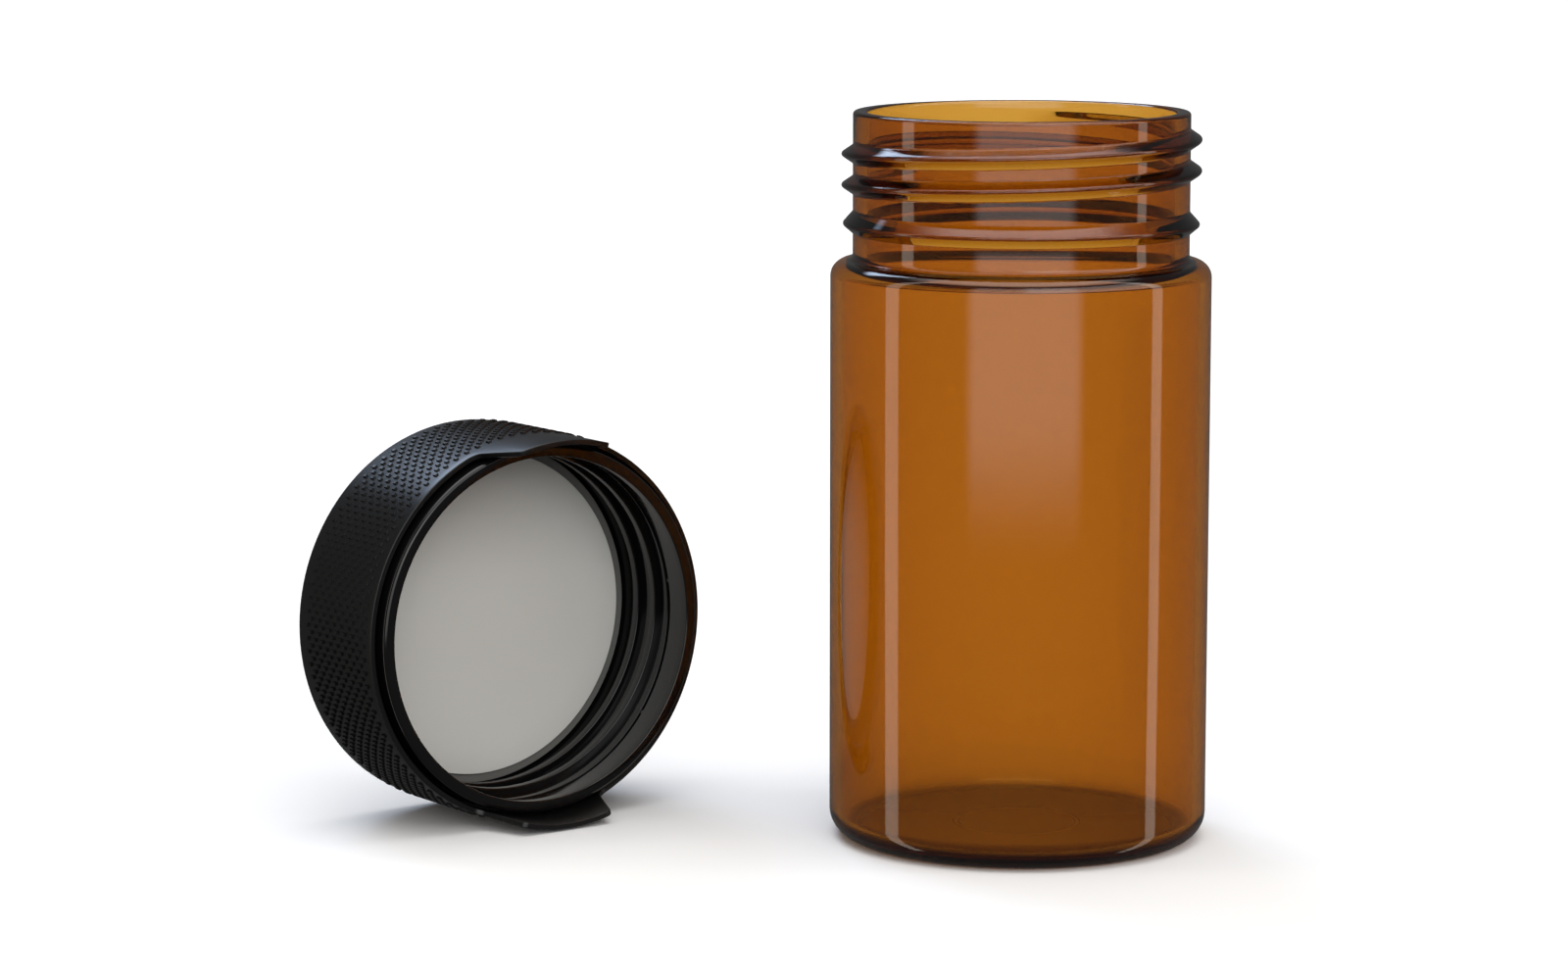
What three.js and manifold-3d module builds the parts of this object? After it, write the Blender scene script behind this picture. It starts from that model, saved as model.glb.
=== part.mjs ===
// A prescription vial with its push-and-turn closure lying beside it on its side.
// Millimetres, +Z up. The origin is the middle of the vial's base, on the surface it stands on.
//
// The vial is one clear moulding: body, shoulder, threaded neck and collar bead.
// The closure is an inner cap that screws onto the neck, an outer shell that turns freely
// around it until it is pressed down, a tamper band below a narrow slit, a foam backing and
// a sealing disc. Closure parts are drawn in a closure frame, with height measured up from
// the shell's rim towards its closed end, and are laid down as one group.
import * as THREE from 'three';
import { mergeVertices } from 'three/addons/utils/BufferGeometryUtils.js';
import Module from 'manifold-3d';

const manifoldLibrary = await Module();
manifoldLibrary.setup();

// Vial
const VIAL_HEIGHT = 100.0;
const BODY_RADIUS = 26.0;
const BODY_WALL = 1.6;
const BASE_THICKNESS = 2.4;
const BASE_CORNER_RADIUS = 4.1;
const NECK_STEP = 3.05;
const NECK_WALL = 1.95;
const NECK_HEIGHT = 19.4;
const NECK_FILLET = 0.85;
const LEDGE_RADIUS = 0.8;
const RIM_ROUND = 0.45;

// Neck thread and the collar bead under it
const THREAD_PITCH = 4.233;
const NECK_THREAD_DEPTH = 1.55;
const NECK_THREAD_BASE = 2.6;
const NECK_THREAD_CREST = 0.8;
const NECK_THREAD_BELOW_RIM = 2.8;
const NECK_THREAD_ABOVE_COLLAR = 2.8;
const NECK_THREAD_ANGLE = 79;
const COLLAR_ABOVE_FOOT = 4.1;
const COLLAR_DEPTH = 1.4;
const COLLAR_RISE = 1.7;
const COLLAR_DROP = 1.3;
const COLLAR_CREST = 0.5;

// Closure: radial clearances and walls, from the neck outwards
const THREAD_CLEARANCE = 0.4;
const INNER_WALL = 1.0;
const SHELL_CLEARANCE = 0.6;
const SHELL_WALL = 1.0;

// Closure: stack of heights, from the shell's closed end downwards
const SHELL_HEIGHT = 19.9;
const SHELL_TOP = 1.3;
const SHELL_CORNER_RADIUS = 1.3;
const SHELL_RIM_CHAMFER = 0.6;
const PRESS_TRAVEL = 1.15;
const INNER_TOP = 1.0;
const SEAT_GAP = 0.25;
const LINER_THICKNESS = 1.0;
const LINER_EDGE_GAP = 0.4;
const SEAL_THICKNESS = 0.25;
const SEAL_OVERHANG = 0.2;

// Closure thread, tamper band and its bridges
const CAP_THREAD_DEPTH = 1.0;
const CAP_THREAD_BASE = 2.2;
const CAP_THREAD_CREST = 1.2;
const CAP_THREAD_ABOVE_EDGE = 1.7;
const CAP_THREAD_BELOW_SEAL = 1.4;
const CAP_THREAD_ANGLE = -95;
const BAND_OVERHANG = 1.5;
const BAND_HEIGHT = 5.2;
const BAND_CHAMFER = 0.4;
const SLIT_WIDTH = 0.6;
const LIP_OVERLAP = 0.1;
const LIP_HEIGHT = 1.7;
const LIP_CHAMFER = 0.2;
const BRIDGE_COUNT = 8;
const BRIDGE_WIDTH = 0.5;
const BRIDGE_DEPTH = 0.5;
const BRIDGE_GAP = 0.15;
const BRIDGE_INSET = 0.05;
const BRIDGE_ANGLE = -8.5;

// Snap bead in the shell and the flange it holds
const FLANGE_RUNNING_GAP = 0.2;
const FLANGE_HEIGHT = 1.0;
const FLANGE_ABOVE_EDGE = 0.9;
const SNAP_RUNNING_GAP = 0.2;
const SNAP_HEIGHT = 0.6;
const SNAP_AXIAL_GAP = 0.25;

// Tabs, drive lugs and spring fingers
const TAB_LENGTH = 7.4;
const TAB_ROOT_WIDTH = 20.2;
const TAB_TIP_WIDTH = 14.6;
const TAB_ROOT_FILLET = 1.4;
const TAB_TIP_RADIUS = 1.1;
const LUG_COUNT = 12;
const LUG_INSET = 5.4;
const LUG_LENGTH = 3.0;
const LUG_WIDTH = 1.4;
const LUG_HEIGHT = 0.4;
const FINGER_COUNT = 6;
const FINGER_INSET = 7.5;
const FINGER_LENGTH = 6.0;
const FINGER_WIDTH = 2.2;
const FINGER_THICKNESS = 0.5;
const FINGER_GAP = 0.25;

// Where the closure lies: its axis is level, its mouth faces -Y, its near side is this far
// from the vial's axis and its tabs end this far behind the vial
const CLOSURE_SIDE_X = -22.3;
const CLOSURE_BEHIND_VIAL = 11.3;

// Fineness of the curves, how a ridge's ends fade, how deep added features sink into a wall,
// and how far a cutting shape reaches past what it cuts
const TURN_STEPS = 60;
const RIDGE_STEPS = 48;
const CURVE_STEPS = 5;
const FADE_TURNS = 0.07;
const EMBED = 0.4;
const CUT_REACH = 2;
const QUARTER = Math.PI / 2;

// Sizes that follow from the ones above
const neckRadius = BODY_RADIUS - NECK_STEP;
const neckFoot = VIAL_HEIGHT - NECK_HEIGHT;
const collarHeight = neckFoot + COLLAR_ABOVE_FOOT;
const collarRadius = neckRadius + COLLAR_DEPTH;
const innerBore = neckRadius + NECK_THREAD_DEPTH + THREAD_CLEARANCE;
const innerRadius = innerBore + INNER_WALL;
const shellBore = innerRadius + SHELL_CLEARANCE;
const shellRadius = shellBore + SHELL_WALL;
const shellCeiling = SHELL_HEIGHT - SHELL_TOP;
const innerTop = shellCeiling - PRESS_TRAVEL;
const innerCeiling = innerTop - INNER_TOP;
const linerTop = innerCeiling - SEAT_GAP;
const linerBottom = linerTop - LINER_THICKNESS;
const sealTop = linerBottom - SEAT_GAP;
const sealBottom = sealTop - SEAL_THICKNESS;
const bandTop = BAND_HEIGHT - BAND_OVERHANG;
const innerEdge = bandTop + SLIT_WIDTH;
const flangeBottom = innerEdge + FLANGE_ABOVE_EDGE;
const flangeRadius = shellBore - FLANGE_RUNNING_GAP;
const flangeDepth = flangeRadius - innerRadius;
const snapTop = flangeBottom - SNAP_AXIAL_GAP;
const snapRadius = innerRadius + SNAP_RUNNING_GAP;
const snapDepth = shellBore - snapRadius;
const lugRadius = innerRadius - LUG_INSET;
const fingerRadius = lugRadius - FINGER_INSET;

// An arc of profile points around (x, y), from one angle to another in degrees.
function arc(x, y, radius, startDegrees, endDegrees, steps) {
  const points = [];
  for (let i = 0; i <= steps; i += 1) {
    const angle = THREE.MathUtils.degToRad(startDegrees + (endDegrees - startDegrees) * (i / steps));
    points.push([x + radius * Math.cos(angle), y + radius * Math.sin(angle)]);
  }
  return points;
}

// A solid of revolution about +Z from [radius, height] points that run anticlockwise.
function revolve(points) {
  const profile = points.map(([radius, height]) => new THREE.Vector2(radius, height));
  return new THREE.LatheGeometry(profile, TURN_STEPS).rotateX(QUARTER);
}

// The same for a ring, whose profile closes on itself.
function revolveRing(points) {
  return revolve([...points, points[0]]);
}

// A helical ridge about +Z. The section holds [along the axis, out of the wall] points, and
// outward is 1 on a pin's thread and -1 on a bore's.
// The ridge rises out of the wall at one end and sinks back at the other over FADE_TURNS.
function helicalRidge(section, wallRadius, outward, startDegrees, startHeight, turns) {
  const count = Math.ceil(turns * RIDGE_STEPS);
  const positions = [];
  for (let i = 0; i <= count; i += 1) {
    const turned = turns * (i / count);
    const angle = THREE.MathUtils.degToRad(startDegrees) + turned * 2 * Math.PI;
    const risen = Math.min(1, turned / FADE_TURNS, (turns - turned) / FADE_TURNS);
    for (const [along, out] of section) {
      const radius = wallRadius + outward * (out > 0 ? THREE.MathUtils.lerp(-EMBED / 2, out, risen) : out);
      const height = startHeight + turned * THREAD_PITCH + along;
      positions.push(radius * Math.cos(angle), radius * Math.sin(angle), height);
    }
  }
  const size = section.length;
  const indices = [];
  for (let i = 0; i < count; i += 1) {
    for (let j = 0; j < size; j += 1) {
      const a = i * size + j;
      const b = i * size + ((j + 1) % size);
      indices.push(a, b, b + size, a, b + size, a + size);
    }
  }
  const last = count * size;
  for (let j = 1; j < size - 1; j += 1) {
    indices.push(0, j + 1, j);
    indices.push(last, last + j, last + j + 1);
  }
  const geometry = new THREE.BufferGeometry();
  geometry.setAttribute('position', new THREE.Float32BufferAttribute(positions, 3));
  geometry.setIndex(indices);
  return geometry;
}

// A trapezoid thread section with its foot sunk into the wall. A lean of 0 has even flanks, and
// a lean of -1 has its lower flank square to the wall.
function threadSection(base, crest, depth, lean) {
  const middle = lean * (base - crest) / 2;
  const foot = (base + (base - crest) * (EMBED / depth)) / 2;
  return [[-foot, -EMBED], [foot, -EMBED], [middle + crest / 2, depth], [middle - crest / 2, depth]];
}

// A closed geometry as a solid, whichever way its faces were wound.
function solidOf(geometry) {
  const bare = geometry.clone();
  bare.deleteAttribute('normal');
  bare.deleteAttribute('uv');
  const merged = mergeVertices(bare);
  const corners = merged.index.array;
  const position = merged.attributes.position;
  const kept = [];
  let volume = 0;
  const [a, b, c] = [new THREE.Vector3(), new THREE.Vector3(), new THREE.Vector3()];
  for (let i = 0; i < corners.length; i += 3) {
    const [p, q, r] = [corners[i], corners[i + 1], corners[i + 2]];
    if (p !== q && q !== r && r !== p) {
      kept.push(p, q, r);
      a.fromBufferAttribute(position, p);
      b.fromBufferAttribute(position, q);
      c.fromBufferAttribute(position, r);
      volume += a.dot(b.cross(c));
    }
  }
  const triVerts = Uint32Array.from(volume < 0 ? kept.reverse() : kept);
  const vertProperties = Float32Array.from(position.array);
  return new manifoldLibrary.Manifold(new manifoldLibrary.Mesh({ numProp: 3, vertProperties, triVerts }));
}

// A solid as a geometry that a mesh can show.
function geometryOf(solid) {
  const mesh = solid.getMesh();
  const geometry = new THREE.BufferGeometry();
  geometry.setAttribute('position', new THREE.Float32BufferAttribute(mesh.vertProperties, 3));
  geometry.setIndex(Array.from(mesh.triVerts));
  geometry.computeVertexNormals();
  return geometry;
}

// Copies of one solid around +Z.
function ringOf(geometry, count, startDegrees = 0) {
  const copies = [];
  for (let i = 0; i < count; i += 1) {
    const angle = THREE.MathUtils.degToRad(startDegrees) + (i / count) * 2 * Math.PI;
    copies.push(solidOf(geometry.clone().rotateZ(angle)));
  }
  return copies.reduce((joined, copy) => joined.add(copy));
}

function moulded(name, geometry, color, roughness, options = {}) {
  const material = new THREE.MeshStandardMaterial({ color, roughness, metalness: 0, ...options });
  const mesh = new THREE.Mesh(geometry, material);
  mesh.name = name;
  return mesh;
}

// The vial: outside profile up to the rim, then the inside profile back down to the floor.
function vialBody() {
  const bodyBore = BODY_RADIUS - BODY_WALL;
  const neckBore = neckRadius - NECK_WALL;
  const filletX = neckRadius + NECK_FILLET;
  const shoulderRadius = BODY_RADIUS - filletX;
  const shoulderFoot = neckFoot - NECK_FILLET - shoulderRadius;
  const ledge = neckFoot - NECK_FILLET - BODY_WALL;
  const innerCorner = BASE_CORNER_RADIUS - BODY_WALL;
  const profile = [
    [0, 0],
    ...arc(BODY_RADIUS - BASE_CORNER_RADIUS, BASE_CORNER_RADIUS, BASE_CORNER_RADIUS, -90, 0, 5),
    ...arc(filletX, shoulderFoot, shoulderRadius, 0, 90, 4),
    ...arc(filletX, neckFoot, NECK_FILLET, 270, 180, 3),
    [neckRadius, collarHeight - COLLAR_DROP],
    [collarRadius, collarHeight - COLLAR_CREST / 2],
    [collarRadius, collarHeight + COLLAR_CREST / 2],
    [neckRadius, collarHeight + COLLAR_RISE],
    ...arc(neckRadius - RIM_ROUND, VIAL_HEIGHT - RIM_ROUND, RIM_ROUND, 0, 90, 2),
    ...arc(neckBore + RIM_ROUND, VIAL_HEIGHT - RIM_ROUND, RIM_ROUND, 90, 180, 2),
    ...arc(neckBore + LEDGE_RADIUS, ledge + LEDGE_RADIUS, LEDGE_RADIUS, 180, 270, 2),
    ...arc(bodyBore - LEDGE_RADIUS, ledge - LEDGE_RADIUS, LEDGE_RADIUS, 90, 0, 2),
    ...arc(bodyBore - innerCorner, BASE_THICKNESS + innerCorner, innerCorner, 0, -90, 4),
    [0, BASE_THICKNESS],
  ];
  const threadStart = collarHeight + COLLAR_RISE + NECK_THREAD_ABOVE_COLLAR;
  const thread = helicalRidge(
    threadSection(NECK_THREAD_BASE, NECK_THREAD_CREST, NECK_THREAD_DEPTH, 0),
    neckRadius,
    1,
    NECK_THREAD_ANGLE,
    threadStart,
    (VIAL_HEIGHT - NECK_THREAD_BELOW_RIM - threadStart) / THREAD_PITCH,
  );
  const solid = solidOf(revolve(profile)).add(solidOf(thread));
  return moulded('vial_body', geometryOf(solid), '#a05a10', 0.12, { transparent: true, opacity: 0.7 });
}

// The outline that both tabs share, flared at the rim and rounded at the tip.
function tabOutline() {
  const root = TAB_ROOT_WIDTH / 2;
  const tip = TAB_TIP_WIDTH / 2;
  const above = SHELL_RIM_CHAMFER + CUT_REACH;
  const slope = new THREE.Vector2(root - tip, TAB_LENGTH).normalize();
  const half = new THREE.Path();
  half.moveTo(root + TAB_ROOT_FILLET, above);
  half.lineTo(root + TAB_ROOT_FILLET, 0);
  half.quadraticCurveTo(root, 0, root - slope.x * TAB_ROOT_FILLET, -slope.y * TAB_ROOT_FILLET);
  half.lineTo(tip + slope.x * TAB_TIP_RADIUS, slope.y * TAB_TIP_RADIUS - TAB_LENGTH);
  half.quadraticCurveTo(tip, -TAB_LENGTH, tip - TAB_TIP_RADIUS, -TAB_LENGTH);
  const right = half.getPoints(CURVE_STEPS);
  const left = right.map(({ x, y }) => new THREE.Vector2(-x, y)).reverse();
  return new THREE.Shape([...right, ...left]);
}

// A ring of drive lugs, standing out of a disc's face in the direction given.
function driveLugs(face, direction) {
  const lug = new THREE.BoxGeometry(LUG_LENGTH, LUG_WIDTH, LUG_HEIGHT + EMBED);
  lug.translate(lugRadius, 0, face + direction * (LUG_HEIGHT - EMBED) / 2);
  return ringOf(lug, LUG_COUNT);
}

// The outer shell: a closed cup as long as its tabs, cut back to the rim between them.
function outerShell() {
  const corner = SHELL_CORNER_RADIUS;
  const cup = solidOf(revolve([
    [0, SHELL_HEIGHT],
    ...arc(shellRadius - corner, SHELL_HEIGHT - corner, corner, 90, 0, 4),
    [shellRadius, -TAB_LENGTH],
    [shellBore, -TAB_LENGTH],
    [shellBore, snapTop - SNAP_HEIGHT - snapDepth],
    [snapRadius, snapTop - SNAP_HEIGHT],
    [snapRadius, snapTop],
    [shellBore, snapTop],
    [shellBore, shellCeiling],
    [0, shellCeiling],
  ]));
  const reach = shellRadius + CUT_REACH;
  const rimCut = solidOf(revolveRing([
    [shellBore - CUT_REACH, -TAB_LENGTH - CUT_REACH],
    [reach, -TAB_LENGTH - CUT_REACH],
    [reach, SHELL_RIM_CHAMFER],
    [shellRadius, SHELL_RIM_CHAMFER],
    [shellRadius - SHELL_RIM_CHAMFER, 0],
    [shellBore - CUT_REACH, 0],
  ]));
  const tabs = new THREE.ExtrudeGeometry(tabOutline(), { depth: 2 * reach, bevelEnabled: false });
  tabs.rotateX(QUARTER).translate(0, reach, 0);
  const solid = cup.subtract(rimCut.subtract(solidOf(tabs))).add(driveLugs(shellCeiling, -1));
  return moulded('outer_shell', geometryOf(solid), '#191a1c', 0.42);
}

// The inner cap: a threaded cup with a flange at its foot, drive lugs and spring fingers on top.
function innerCap() {
  const edgeChamfer = INNER_TOP / 2;
  const cup = solidOf(revolve([
    [0, innerTop],
    [innerRadius - edgeChamfer, innerTop],
    [innerRadius, innerTop - edgeChamfer],
    [innerRadius, flangeBottom + FLANGE_HEIGHT + flangeDepth],
    [flangeRadius, flangeBottom + FLANGE_HEIGHT],
    [flangeRadius, flangeBottom],
    [innerRadius, flangeBottom - flangeDepth / 2],
    [innerRadius, innerEdge],
    [innerBore, innerEdge],
    [innerBore, innerCeiling],
    [0, innerCeiling],
  ]));
  const threadStart = innerEdge + CAP_THREAD_ABOVE_EDGE;
  const thread = helicalRidge(
    threadSection(CAP_THREAD_BASE, CAP_THREAD_CREST, CAP_THREAD_DEPTH, -1),
    innerBore,
    -1,
    CAP_THREAD_ANGLE,
    threadStart,
    (sealBottom - CAP_THREAD_BELOW_SEAL - threadStart) / THREAD_PITCH,
  );
  const fingerRise = PRESS_TRAVEL - FINGER_GAP;
  const finger = new THREE.BoxGeometry(FINGER_WIDTH, FINGER_LENGTH, FINGER_THICKNESS);
  finger.rotateX(Math.asin(fingerRise / FINGER_LENGTH));
  finger.computeBoundingBox();
  finger.translate(fingerRadius, 0, innerTop + fingerRise - finger.boundingBox.max.z);
  const solid = cup.add(solidOf(thread)).add(driveLugs(innerTop, 1)).add(ringOf(finger, FINGER_COUNT));
  return moulded('inner_cap', geometryOf(solid), '#151618', 0.45);
}

// The tamper band: a ring with a lip that snaps past the neck's collar, and bridges on its edge.
function tamperBand() {
  const lipRadius = collarRadius - LIP_OVERLAP;
  const foot = -BAND_OVERHANG;
  const undercut = innerBore - lipRadius;
  const ring = solidOf(revolveRing([
    [lipRadius, foot + LIP_CHAMFER],
    [lipRadius + LIP_CHAMFER, foot],
    [innerRadius - BAND_CHAMFER, foot],
    [innerRadius, foot + BAND_CHAMFER],
    [innerRadius, bandTop],
    [innerBore, bandTop],
    [innerBore, foot + LIP_HEIGHT + undercut],
    [lipRadius, foot + LIP_HEIGHT],
  ]));
  const bridgeRise = SLIT_WIDTH - BRIDGE_GAP;
  const bridge = new THREE.BoxGeometry(BRIDGE_DEPTH, BRIDGE_WIDTH, bridgeRise + EMBED);
  bridge.translate(innerBore + BRIDGE_INSET + BRIDGE_DEPTH / 2, 0, bandTop + (bridgeRise - EMBED) / 2);
  const solid = ring.add(ringOf(bridge, BRIDGE_COUNT, BRIDGE_ANGLE));
  return moulded('tamper_band', geometryOf(solid), '#17181a', 0.4);
}

// The foam backing, pressed up inside the inner cap.
function linerBacking() {
  const radius = innerBore - LINER_EDGE_GAP;
  const disc = revolve([[0, linerBottom], [radius, linerBottom], [radius, linerTop], [0, linerTop]]);
  return moulded('liner_backing', disc, '#7d7c78', 0.8);
}

// The sealing disc, a little wider than the neck that it closes.
function foilSeal() {
  const radius = neckRadius + SEAL_OVERHANG;
  const disc = revolve([[0, sealBottom], [radius, sealBottom], [radius, sealTop], [0, sealTop]]);
  return moulded('foil_seal', disc, '#a09e99', 0.35);
}

const closure = new THREE.Group();
closure.add(innerCap(), outerShell(), tamperBand(), linerBacking(), foilSeal());
closure.rotation.x = -QUARTER;
closure.position.set(
  CLOSURE_SIDE_X - shellRadius,
  BODY_RADIUS + CLOSURE_BEHIND_VIAL + TAB_LENGTH,
  shellRadius,
);

const vial = new THREE.Group();
vial.add(vialBody(), closure);

export default vial;
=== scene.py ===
"""A prescription vial and its push-and-turn closure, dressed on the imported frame.

The vial stands on its base and the closure lies on its side beside it. Each sub-assembly is a
class that takes its place from the frame and holds in millimetres the sizes that the frame
doesn't give. Meshes are built in metres, where they stand, and replace the frame's plain nodes.
"""

import logging
import math
from collections.abc import Callable
from dataclasses import dataclass, field
from enum import Enum

import bmesh
import bpy
import numpy as np
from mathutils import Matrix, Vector


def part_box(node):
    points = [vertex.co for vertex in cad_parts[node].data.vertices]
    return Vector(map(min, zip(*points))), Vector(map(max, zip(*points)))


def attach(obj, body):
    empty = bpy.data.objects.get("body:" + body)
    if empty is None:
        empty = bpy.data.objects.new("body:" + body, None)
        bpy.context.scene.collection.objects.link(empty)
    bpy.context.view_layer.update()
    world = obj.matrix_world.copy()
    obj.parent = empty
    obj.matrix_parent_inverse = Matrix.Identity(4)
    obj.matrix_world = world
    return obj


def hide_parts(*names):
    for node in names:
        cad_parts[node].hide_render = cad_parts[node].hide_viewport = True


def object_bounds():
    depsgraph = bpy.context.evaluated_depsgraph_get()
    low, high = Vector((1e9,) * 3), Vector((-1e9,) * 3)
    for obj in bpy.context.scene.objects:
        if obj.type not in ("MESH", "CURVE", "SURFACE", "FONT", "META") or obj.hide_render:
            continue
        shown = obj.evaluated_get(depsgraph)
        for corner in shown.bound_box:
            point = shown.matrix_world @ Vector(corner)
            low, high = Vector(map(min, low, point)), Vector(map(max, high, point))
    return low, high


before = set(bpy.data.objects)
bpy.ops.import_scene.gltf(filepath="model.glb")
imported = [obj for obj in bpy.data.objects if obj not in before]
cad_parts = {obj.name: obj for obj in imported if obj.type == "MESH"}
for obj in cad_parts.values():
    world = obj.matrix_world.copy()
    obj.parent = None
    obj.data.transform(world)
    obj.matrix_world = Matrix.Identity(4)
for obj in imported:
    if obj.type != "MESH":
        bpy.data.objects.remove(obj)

MM = 0.001
WELD_METRES = 1e-7
SLACK_MM = 0.01
CAD_LOW, CAD_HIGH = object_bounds()

log = logging.getLogger("vial")


# ---------------------------------------------------------------- finishes


def linear(code: str) -> tuple[float, float, float, float]:
    """Turn an sRGB hex colour into the linear colour that a shader socket takes.

    Args:
        code: Six hex digits with a leading hash.

    Returns:
        Linear red, green, blue and an alpha of 1.
    """
    parts = [int(code[i : i + 2], 16) / 255 for i in (1, 3, 5)]
    flat = [p / 12.92 if p <= 0.04045 else ((p + 0.055) / 1.055) ** 2.4 for p in parts]
    return (flat[0], flat[1], flat[2], 1.0)


def add_node(
    tree: bpy.types.NodeTree, kind: str, settings: dict | None = None, links: dict | None = None
) -> bpy.types.Node:
    """Add a node with its settings and its sockets.

    Args:
        tree: The tree that the node goes in.
        kind: The node's type name.
        settings: Properties of the node itself.
        links: Input sockets, by name or number. A socket as the value is linked, and anything
            else becomes the input's own value.

    Returns:
        The new node.
    """
    node = tree.nodes.new(kind)
    for key, value in (settings or {}).items():
        setattr(node, key, value)
    for key, value in (links or {}).items():
        if isinstance(value, bpy.types.NodeSocket):
            tree.links.new(value, node.inputs[key])
        else:
            node.inputs[key].default_value = value
    return node


@dataclass(frozen=True)
class ClearResin:
    """Amber PET, moulded and glossy: clear, darker where light crosses more of it, faintly wavy.

    Its underside is matt, as a mould that isn't polished there leaves it.
    """

    name: str = "amber_clear_pet"
    tint: str = "#F9D881"
    depth_tint: str = "#D9BC47"
    depth_density: float = 985.0
    ior: float = 1.57
    roughness: float = 0.02
    underside_roughness: float = 0.4
    underside_mm: float = 1.9
    wave_size_mm: float = 14.0
    wave_depth: float = 0.02

    def make(self) -> bpy.types.Material:
        """Build the material.

        Returns:
            A glassy material that tints what is seen through it.
        """
        material = bpy.data.materials.new(self.name)
        material.use_nodes = True
        tree = material.node_tree
        tree.nodes.clear()
        place = add_node(tree, "ShaderNodeTexCoord")
        wave = add_node(tree, "ShaderNodeTexNoise", links={
            "Vector": place.outputs["Object"], "Scale": 1 / (self.wave_size_mm * MM), "Detail": 1.0,
        })
        bump = add_node(tree, "ShaderNodeBump", links={
            "Height": wave.outputs["Fac"], "Strength": self.wave_depth, "Distance": MM,
        })
        parts = add_node(tree, "ShaderNodeSeparateXYZ", links={0: place.outputs["Object"]})
        matt = add_node(tree, "ShaderNodeMapRange", links={
            "Value": parts.outputs[2],
            "From Min": self.underside_mm * MM, "From Max": self.underside_mm * MM / 2,
            "To Min": self.roughness, "To Max": self.underside_roughness,
        })
        clear = add_node(tree, "ShaderNodeBsdfPrincipled", links={
            "Base Color": linear(self.tint), "Roughness": matt.outputs["Result"], "IOR": self.ior,
            "Transmission Weight": 1.0, "Normal": bump.outputs["Normal"],
        })
        depth = add_node(tree, "ShaderNodeVolumeAbsorption", links={
            "Color": linear(self.depth_tint), "Density": self.depth_density,
        })
        out = add_node(tree, "ShaderNodeOutputMaterial")
        tree.links.new(clear.outputs["BSDF"], out.inputs["Surface"])
        tree.links.new(depth.outputs["Volume"], out.inputs["Volume"])
        return material


@dataclass(frozen=True)
class MouldedFinish:
    """An opaque moulding or film: two close colours, a fine surface grain and its gloss."""

    name: str
    colour: str
    worn_colour: str
    roughness: float
    roughness_spread: float
    grain_mm: float
    grain_depth_mm: float
    specular: float = 0.5
    ior: float = 1.5
    blotch_mm: float = 9.0

    def make(self) -> bpy.types.Material:
        """Build the material.

        Returns:
            A material with broad blotches in colour and gloss over a fine bumped grain.
        """
        material = bpy.data.materials.new(self.name)
        material.use_nodes = True
        tree = material.node_tree
        tree.nodes.clear()
        place = add_node(tree, "ShaderNodeTexCoord")
        blotch = add_node(tree, "ShaderNodeTexNoise", links={
            "Vector": place.outputs["Object"], "Scale": 1 / (self.blotch_mm * MM), "Detail": 4.0,
        })
        colour = add_node(tree, "ShaderNodeMix", {"data_type": "RGBA"}, {
            0: blotch.outputs["Fac"], 6: linear(self.colour), 7: linear(self.worn_colour),
        })
        gloss = add_node(tree, "ShaderNodeMapRange", links={
            "Value": blotch.outputs["Fac"], "To Min": self.roughness - self.roughness_spread,
            "To Max": self.roughness + self.roughness_spread,
        })
        grain = add_node(tree, "ShaderNodeTexNoise", links={
            "Vector": place.outputs["Object"], "Scale": 1 / (self.grain_mm * MM), "Detail": 2.0,
        })
        bump = add_node(tree, "ShaderNodeBump", links={
            "Height": grain.outputs["Fac"], "Strength": 1.0, "Distance": self.grain_depth_mm * MM,
        })
        shader = add_node(tree, "ShaderNodeBsdfPrincipled", links={
            "Base Color": colour.outputs[2], "Roughness": gloss.outputs["Result"], "IOR": self.ior,
            "Specular IOR Level": self.specular, "Normal": bump.outputs["Normal"],
        })
        out = add_node(tree, "ShaderNodeOutputMaterial")
        tree.links.new(shader.outputs["BSDF"], out.inputs["Surface"])
        return material


# Polypropylene from a spark-textured mould: a black skin that scatters highlights softly.
SHELL_POLYPROPYLENE = MouldedFinish(
    "black_polypropylene_satin", "#0B0B0B", "#100F0F",
    roughness=0.28, roughness_spread=0.03, grain_mm=0.35, grain_depth_mm=0.002,
)
# The inner parts come from a polished mould, so their highlights are tighter.
INNER_POLYPROPYLENE = MouldedFinish(
    "black_polypropylene_polished", "#0A0A0A", "#100F0F",
    roughness=0.11, roughness_spread=0.02, grain_mm=0.5, grain_depth_mm=0.001,
)
# Foamed polyethylene: matt, pale grey and finely pitted.
FOAM_POLYETHYLENE = MouldedFinish(
    "grey_foamed_polyethylene", "#6C6B68", "#7C7B77",
    roughness=0.8, roughness_spread=0.06, grain_mm=0.25, grain_depth_mm=0.03, specular=0.3,
)
# A heat-seal film on foil: satin and warm grey, with a faint press ripple.
SEAL_FILM = MouldedFinish(
    "grey_heat_seal_film", "#E8E7E0", "#EEEDE7",
    roughness=0.42, roughness_spread=0.05, grain_mm=2.2, grain_depth_mm=0.012, blotch_mm=16.0,
)
# Painted board: pale and matt, so it takes soft shadows and gives no highlight.
FLOOR_FINISH = MouldedFinish(
    "pale_matt_floor", "#FBFAF9", "#FBFAF9",
    roughness=0.95, roughness_spread=0.0, grain_mm=5.0, grain_depth_mm=0.0, specular=0.0,
)


# ---------------------------------------------------------------- shapes


Corner = tuple[float, float, float]
Point = tuple[float, float]
EdgeRule = Callable[[float], float]


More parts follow.
